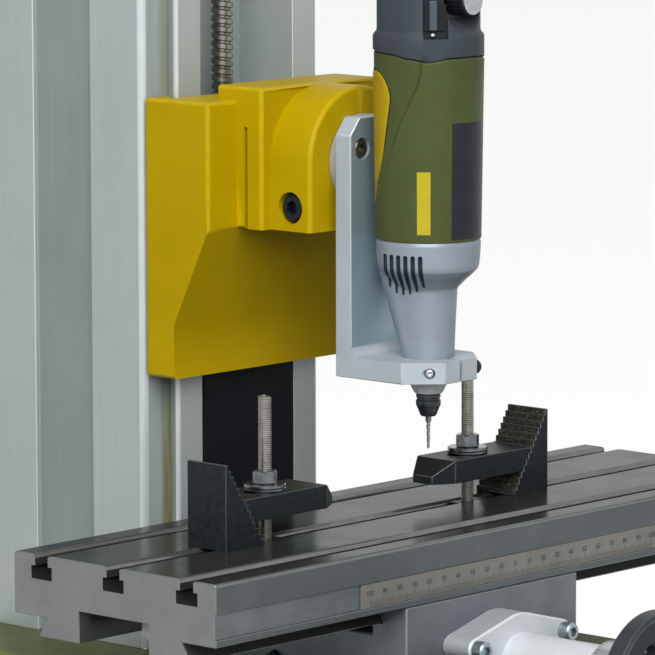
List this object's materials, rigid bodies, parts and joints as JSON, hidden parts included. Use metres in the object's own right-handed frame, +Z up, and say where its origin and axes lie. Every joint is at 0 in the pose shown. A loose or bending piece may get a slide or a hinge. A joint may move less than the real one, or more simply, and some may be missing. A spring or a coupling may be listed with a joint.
{
  "type": "benchtop milling machine",
  "caption": "Benchtop milling machine with a slotted cross-slide table, a dovetail column and a swivelling bracket that clamps a rotary tool.",
  "frame": {"origin": "centre of the four floor bolt holes at the underside of the base", "axes": "+Z up, +X along the table to the right as seen from the front, -Y towards the operator"},
  "size_m": [0.5255, 0.4165, 0.6645],
  "materials": {
    "green_paint": "semi-gloss olive green paint",
    "column_aluminium": "satin anodised extrusion",
    "grey_paint": "semi-gloss grey paint",
    "black_steel": "black oxide",
    "bright_steel": "ground steel",
    "brass": "machined",
    "table_steel": "compressed-surface aluminium, machined",
    "cast_aluminium": "bead-blasted casting",
    "ruler": "etched strip",
    "yellow_paint": "semi-gloss ochre yellow paint",
    "black_plastic": "matte",
    "guard_rubber": "matte",
    "green_plastic": "fine texture",
    "grey_plastic": "fine texture",
    "yellow_plastic": "smooth inlay",
    "copper_core": "wound core",
    "dial_aluminium": "satin with graduations"
  },
  "bodies": {
    "frame": {"base_casting": "green_paint", "column": "column_aluminium", "column_top_plate": "grey_paint", "column_bolts": "black_steel", "z_bearing": "bright_steel", "y_nut": "brass"},
    "saddle": {"saddle": "cast_aluminium", "x_gib": "bright_steel", "y_gib": "bright_steel", "gib_screws": "black_steel", "y_bearing_flange": "cast_aluminium", "y_flange_bolts": "bright_steel", "y_bearing": "bright_steel", "x_nut": "brass"},
    "table": {"table": "table_steel", "table_ruler": "ruler", "x_bearing_flange": "cast_aluminium", "x_flange_bolts": "bright_steel", "x_bearing": "bright_steel", "clamp_step_blocks": "black_steel", "clamp_straps": "black_steel", "clamp_studs": "black_steel", "clamp_nuts": "black_steel", "clamp_washers": "black_steel", "clamp_t_nuts": "black_steel"},
    "carriage": {"carriage": "yellow_paint", "z_gib": "bright_steel", "z_gib_screws": "black_steel", "carriage_clamp_screw": "black_steel", "z_nut": "brass", "swarf_guard": "guard_rubber"},
    "head": {"swivel_stub": "bright_steel", "tool_bracket": "cast_aluminium", "bracket_bolts": "bright_steel", "bracket_clamp_screws": "bright_steel", "front_housing": "cast_aluminium", "motor_housing": "green_plastic", "rear_housing": "grey_plastic", "housing_inlays": "yellow_plastic", "stator": "copper_core", "tool_bearings": "bright_steel"},
    "spindle": {"spindle": "bright_steel", "armature": "copper_core", "collet": "bright_steel", "collet_nut": "black_steel", "milling_bit": "bright_steel"},
    "switch": {"switch_slider": "black_plastic"},
    "speed_knob": {"speed_knob": "black_plastic"},
    "x_wheel": {"x_screw": "bright_steel", "x_handwheel": "grey_paint"},
    "x_dial": {"x_dial": "dial_aluminium"},
    "x_grip": {"x_grip": "black_plastic"},
    "y_wheel": {"y_screw": "bright_steel", "y_handwheel": "grey_paint"},
    "y_dial": {"y_dial": "dial_aluminium"},
    "y_grip": {"y_grip": "black_plastic"},
    "z_wheel": {"z_screw": "bright_steel", "z_handwheel": "grey_paint"},
    "z_dial": {"z_dial": "dial_aluminium"},
    "z_grip": {"z_grip": "black_plastic"}
  },
  "joints": [
    {"name": "y_slide", "type": "slide", "parent": "frame", "child": "saddle", "axis": [0, 1, 0], "range_m": [-0.075, 0.024]},
    {"name": "x_slide", "type": "slide", "parent": "saddle", "child": "table", "axis": [1, 0, 0], "range_m": [-0.17, 0.14]},
    {"name": "z_slide", "type": "slide", "parent": "frame", "child": "carriage", "axis": [0, 0, 1], "range_m": [-0.017, 0.203]},
    {"name": "head_swivel", "type": "hinge", "parent": "carriage", "child": "head", "pos_m": [0, -0.01, 0.29912], "axis": [0, 1, 0], "range_deg": [-90, 90]},
    {"name": "spindle_spin", "type": "hinge", "parent": "head", "child": "spindle", "pos_m": [0, -0.0772, 0.20072], "axis": [0, 0, 1], "continuous": true},
    {"name": "power_switch", "type": "slide", "parent": "head", "child": "switch", "axis": [0, 0, 1], "range_m": [0, 0.006]},
    {"name": "speed_turn", "type": "hinge", "parent": "head", "child": "speed_knob", "pos_m": [0, -0.0972, 0.37632], "axis": [0, -1, 0], "range_deg": [0, 300]},
    {"name": "x_wheel_turn", "type": "hinge", "parent": "table", "child": "x_wheel", "pos_m": [0.2611, -0.055, 0.10372], "axis": [1, 0, 0], "continuous": true},
    {"name": "x_dial_set", "type": "hinge", "parent": "x_wheel", "child": "x_dial", "pos_m": [0.2691, -0.055, 0.10372], "axis": [1, 0, 0], "continuous": true},
    {"name": "x_grip_spin", "type": "hinge", "parent": "x_wheel", "child": "x_grip", "pos_m": [0.3111, -0.055, 0.07722], "axis": [1, 0, 0], "continuous": true},
    {"name": "y_wheel_turn", "type": "hinge", "parent": "saddle", "child": "y_wheel", "pos_m": [0, -0.182, 0.0747], "axis": [0, -1, 0], "continuous": true},
    {"name": "y_dial_set", "type": "hinge", "parent": "y_wheel", "child": "y_dial", "pos_m": [0, -0.19, 0.0747], "axis": [0, -1, 0], "continuous": true},
    {"name": "y_grip_spin", "type": "hinge", "parent": "y_wheel", "child": "y_grip", "pos_m": [0.0265, -0.232, 0.0747], "axis": [0, -1, 0], "continuous": true},
    {"name": "z_wheel_turn", "type": "hinge", "parent": "frame", "child": "z_wheel", "pos_m": [0, 0.0534, 0.585], "axis": [0, 0, 1], "continuous": true},
    {"name": "z_dial_set", "type": "hinge", "parent": "z_wheel", "child": "z_dial", "pos_m": [0, 0.0534, 0.593], "axis": [0, 0, 1], "continuous": true},
    {"name": "z_grip_spin", "type": "hinge", "parent": "z_wheel", "child": "z_grip", "pos_m": [0.0265, 0.0534, 0.635], "axis": [0, 0, 1], "continuous": true}
  ],
  "couplings": [
    {"joint": "x_wheel_turn", "follows": "x_slide", "rad_per_m": -3141.6},
    {"joint": "y_wheel_turn", "follows": "y_slide", "rad_per_m": 3141.6},
    {"joint": "z_wheel_turn", "follows": "z_slide", "rad_per_m": 1570.8}
  ]
}
